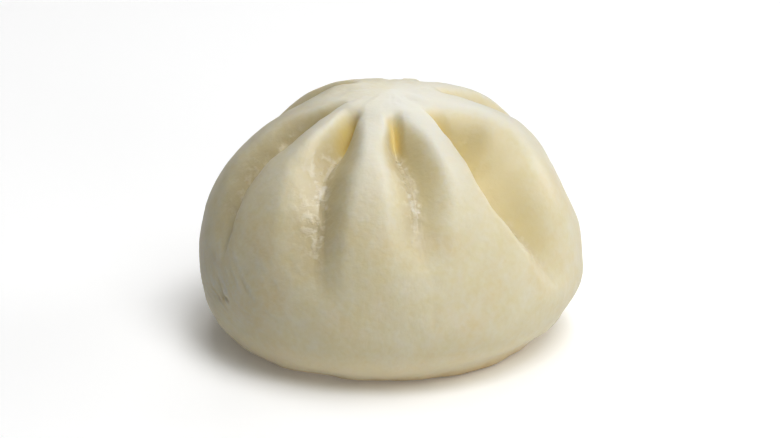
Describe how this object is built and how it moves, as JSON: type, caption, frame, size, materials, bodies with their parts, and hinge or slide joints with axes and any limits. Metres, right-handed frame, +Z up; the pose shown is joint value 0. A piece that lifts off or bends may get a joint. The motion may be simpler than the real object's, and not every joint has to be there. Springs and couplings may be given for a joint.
{
  "type": "custard lava bun",
  "caption": "Closed steamed bun of white dough, pleated and gathered into a knot at the top, with soft folds running down its sides and a flat foot.",
  "frame": {"origin": "centre of the flat foot, on the surface that the bun stands on", "axes": "+Z up through the knot, -Y to the front, +X to the front's right"},
  "size_m": [0.0765, 0.076, 0.0494],
  "materials": {
    "dough": "soft satin steamed dough, ivory white, warmer and yellower deep in the pleats, slightly torn and glossy along the crease floors"
  },
  "bodies": {
    "root": {"bun": "dough"}
  },
  "joints": []
}
